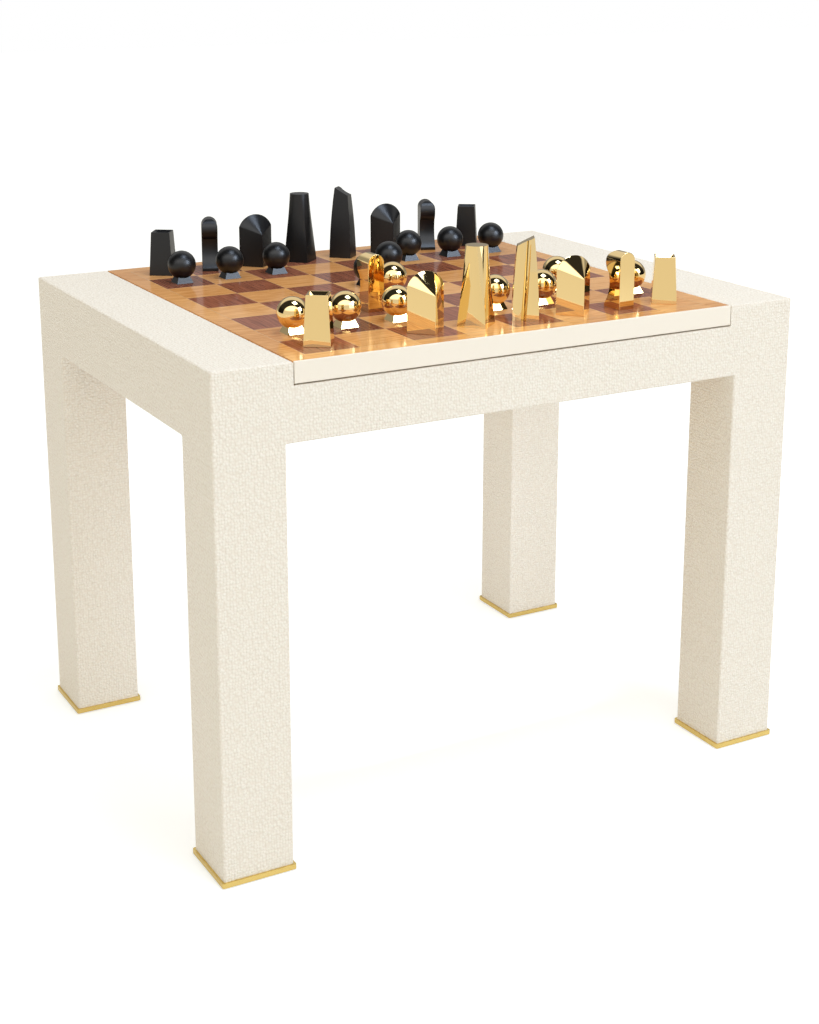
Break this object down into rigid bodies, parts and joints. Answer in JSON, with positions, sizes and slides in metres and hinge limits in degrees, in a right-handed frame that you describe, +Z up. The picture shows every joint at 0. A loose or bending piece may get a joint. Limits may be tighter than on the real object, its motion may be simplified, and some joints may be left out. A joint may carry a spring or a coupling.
{
  "type": "chess table",
  "caption": "Square-legged game table in pale embossed leather with brass feet, an inlaid chessboard top that slides off a storage well, and loose gold and black chess pieces.",
  "frame": {"origin": "on the floor, under the middle of the table", "axes": "+X to the right along the front, +Y to the back, +Z up"},
  "size_m": [0.8094, 0.6134, 0.711],
  "materials": {
    "embossed_leather": "fine pebble-embossed, low sheen",
    "polished_brass": "polished",
    "polished_gold": "mirror polished gold plate",
    "satin_black": "satin black",
    "light_veneer": "gloss lacquered light wood",
    "dark_veneer": "gloss lacquered reddish dark wood",
    "pale_inlay": "gloss lacquered pale wood",
    "beech": "planed",
    "plywood": "sanded",
    "felt": "pressed felt",
    "steel": "zinc plated"
  },
  "bodies": {
    "frame": {"front_left_leg": "embossed_leather", "front_right_leg": "embossed_leather", "back_left_leg": "embossed_leather", "back_right_leg": "embossed_leather", "front_left_foot_plate": "polished_brass", "front_right_foot_plate": "polished_brass", "back_left_foot_plate": "polished_brass", "back_right_foot_plate": "polished_brass", "foot_glides": "felt", "foot_screws": "steel", "front_apron": "embossed_leather", "back_apron": "embossed_leather", "left_apron": "embossed_leather", "right_apron": "embossed_leather", "left_border": "embossed_leather", "right_border": "embossed_leather", "left_well_side": "beech", "right_well_side": "beech", "well_floor": "plywood", "well_liner": "felt", "dowels": "beech"},
    "board": {"board_core": "plywood", "board_border": "light_veneer", "light_squares": "light_veneer", "dark_squares": "dark_veneer", "inlay_lines": "pale_inlay", "edge_bands": "embossed_leather", "slide_tongues": "beech"},
    "gold_rook_left": {"gold_rook_left": "polished_gold"},
    "gold_knight_left": {"gold_knight_left": "polished_gold"},
    "gold_bishop_left": {"gold_bishop_left": "polished_gold"},
    "gold_queen": {"gold_queen": "polished_gold"},
    "gold_king": {"gold_king": "polished_gold"},
    "gold_bishop_right": {"gold_bishop_right": "polished_gold"},
    "gold_knight_right": {"gold_knight_right": "polished_gold"},
    "gold_rook_right": {"gold_rook_right": "polished_gold"},
    "gold_pawn_1": {"gold_pawn_1": "polished_gold"},
    "gold_pawn_2": {"gold_pawn_2": "polished_gold"},
    "gold_pawn_3": {"gold_pawn_3": "polished_gold"},
    "gold_pawn_4": {"gold_pawn_4": "polished_gold"},
    "gold_pawn_5": {"gold_pawn_5": "polished_gold"},
    "gold_pawn_6": {"gold_pawn_6": "polished_gold"},
    "gold_pawn_7": {"gold_pawn_7": "polished_gold"},
    "gold_pawn_8": {"gold_pawn_8": "polished_gold"},
    "black_rook_left": {"black_rook_left": "satin_black"},
    "black_knight_left": {"black_knight_left": "satin_black"},
    "black_bishop_left": {"black_bishop_left": "satin_black"},
    "black_queen": {"black_queen": "satin_black"},
    "black_king": {"black_king": "satin_black"},
    "black_bishop_right": {"black_bishop_right": "satin_black"},
    "black_knight_right": {"black_knight_right": "satin_black"},
    "black_rook_right": {"black_rook_right": "satin_black"},
    "black_pawn_1": {"black_pawn_1": "satin_black"},
    "black_pawn_2": {"black_pawn_2": "satin_black"},
    "black_pawn_3": {"black_pawn_3": "satin_black"},
    "black_pawn_4": {"black_pawn_4": "satin_black"},
    "black_pawn_5": {"black_pawn_5": "satin_black"},
    "black_pawn_6": {"black_pawn_6": "satin_black"},
    "black_pawn_7": {"black_pawn_7": "satin_black"},
    "black_pawn_8": {"black_pawn_8": "satin_black"}
  },
  "joints": [
    {"name": "board_slide", "type": "slide", "parent": "frame", "child": "board", "axis": [0, -1, 0], "range_m": [0, 0.42]},
    {"name": "gold_rook_left_lift", "type": "slide", "parent": "board", "child": "gold_rook_left", "axis": [0, 0, 1], "range_m": [0, 0.12]},
    {"name": "gold_knight_left_lift", "type": "slide", "parent": "board", "child": "gold_knight_left", "axis": [0, 0, 1], "range_m": [0, 0.12]},
    {"name": "gold_bishop_left_lift", "type": "slide", "parent": "board", "child": "gold_bishop_left", "axis": [0, 0, 1], "range_m": [0, 0.12]},
    {"name": "gold_queen_lift", "type": "slide", "parent": "board", "child": "gold_queen", "axis": [0, 0, 1], "range_m": [0, 0.12]},
    {"name": "gold_king_lift", "type": "slide", "parent": "board", "child": "gold_king", "axis": [0, 0, 1], "range_m": [0, 0.12]},
    {"name": "gold_bishop_right_lift", "type": "slide", "parent": "board", "child": "gold_bishop_right", "axis": [0, 0, 1], "range_m": [0, 0.12]},
    {"name": "gold_knight_right_lift", "type": "slide", "parent": "board", "child": "gold_knight_right", "axis": [0, 0, 1], "range_m": [0, 0.12]},
    {"name": "gold_rook_right_lift", "type": "slide", "parent": "board", "child": "gold_rook_right", "axis": [0, 0, 1], "range_m": [0, 0.12]},
    {"name": "gold_pawn_1_lift", "type": "slide", "parent": "board", "child": "gold_pawn_1", "axis": [0, 0, 1], "range_m": [0, 0.12]},
    {"name": "gold_pawn_2_lift", "type": "slide", "parent": "board", "child": "gold_pawn_2", "axis": [0, 0, 1], "range_m": [0, 0.12]},
    {"name": "gold_pawn_3_lift", "type": "slide", "parent": "board", "child": "gold_pawn_3", "axis": [0, 0, 1], "range_m": [0, 0.12]},
    {"name": "gold_pawn_4_lift", "type": "slide", "parent": "board", "child": "gold_pawn_4", "axis": [0, 0, 1], "range_m": [0, 0.12]},
    {"name": "gold_pawn_5_lift", "type": "slide", "parent": "board", "child": "gold_pawn_5", "axis": [0, 0, 1], "range_m": [0, 0.12]},
    {"name": "gold_pawn_6_lift", "type": "slide", "parent": "board", "child": "gold_pawn_6", "axis": [0, 0, 1], "range_m": [0, 0.12]},
    {"name": "gold_pawn_7_lift", "type": "slide", "parent": "board", "child": "gold_pawn_7", "axis": [0, 0, 1], "range_m": [0, 0.12]},
    {"name": "gold_pawn_8_lift", "type": "slide", "parent": "board", "child": "gold_pawn_8", "axis": [0, 0, 1], "range_m": [0, 0.12]},
    {"name": "black_rook_left_lift", "type": "slide", "parent": "board", "child": "black_rook_left", "axis": [0, 0, 1], "range_m": [0, 0.12]},
    {"name": "black_knight_left_lift", "type": "slide", "parent": "board", "child": "black_knight_left", "axis": [0, 0, 1], "range_m": [0, 0.12]},
    {"name": "black_bishop_left_lift", "type": "slide", "parent": "board", "child": "black_bishop_left", "axis": [0, 0, 1], "range_m": [0, 0.12]},
    {"name": "black_queen_lift", "type": "slide", "parent": "board", "child": "black_queen", "axis": [0, 0, 1], "range_m": [0, 0.12]},
    {"name": "black_king_lift", "type": "slide", "parent": "board", "child": "black_king", "axis": [0, 0, 1], "range_m": [0, 0.12]},
    {"name": "black_bishop_right_lift", "type": "slide", "parent": "board", "child": "black_bishop_right", "axis": [0, 0, 1], "range_m": [0, 0.12]},
    {"name": "black_knight_right_lift", "type": "slide", "parent": "board", "child": "black_knight_right", "axis": [0, 0, 1], "range_m": [0, 0.12]},
    {"name": "black_rook_right_lift", "type": "slide", "parent": "board", "child": "black_rook_right", "axis": [0, 0, 1], "range_m": [0, 0.12]},
    {"name": "black_pawn_1_lift", "type": "slide", "parent": "board", "child": "black_pawn_1", "axis": [0, 0, 1], "range_m": [0, 0.12]},
    {"name": "black_pawn_2_lift", "type": "slide", "parent": "board", "child": "black_pawn_2", "axis": [0, 0, 1], "range_m": [0, 0.12]},
    {"name": "black_pawn_3_lift", "type": "slide", "parent": "board", "child": "black_pawn_3", "axis": [0, 0, 1], "range_m": [0, 0.12]},
    {"name": "black_pawn_4_lift", "type": "slide", "parent": "board", "child": "black_pawn_4", "axis": [0, 0, 1], "range_m": [0, 0.12]},
    {"name": "black_pawn_5_lift", "type": "slide", "parent": "board", "child": "black_pawn_5", "axis": [0, 0, 1], "range_m": [0, 0.12]},
    {"name": "black_pawn_6_lift", "type": "slide", "parent": "board", "child": "black_pawn_6", "axis": [0, 0, 1], "range_m": [0, 0.12]},
    {"name": "black_pawn_7_lift", "type": "slide", "parent": "board", "child": "black_pawn_7", "axis": [0, 0, 1], "range_m": [0, 0.12]},
    {"name": "black_pawn_8_lift", "type": "slide", "parent": "board", "child": "black_pawn_8", "axis": [0, 0, 1], "range_m": [0, 0.12]}
  ]
}
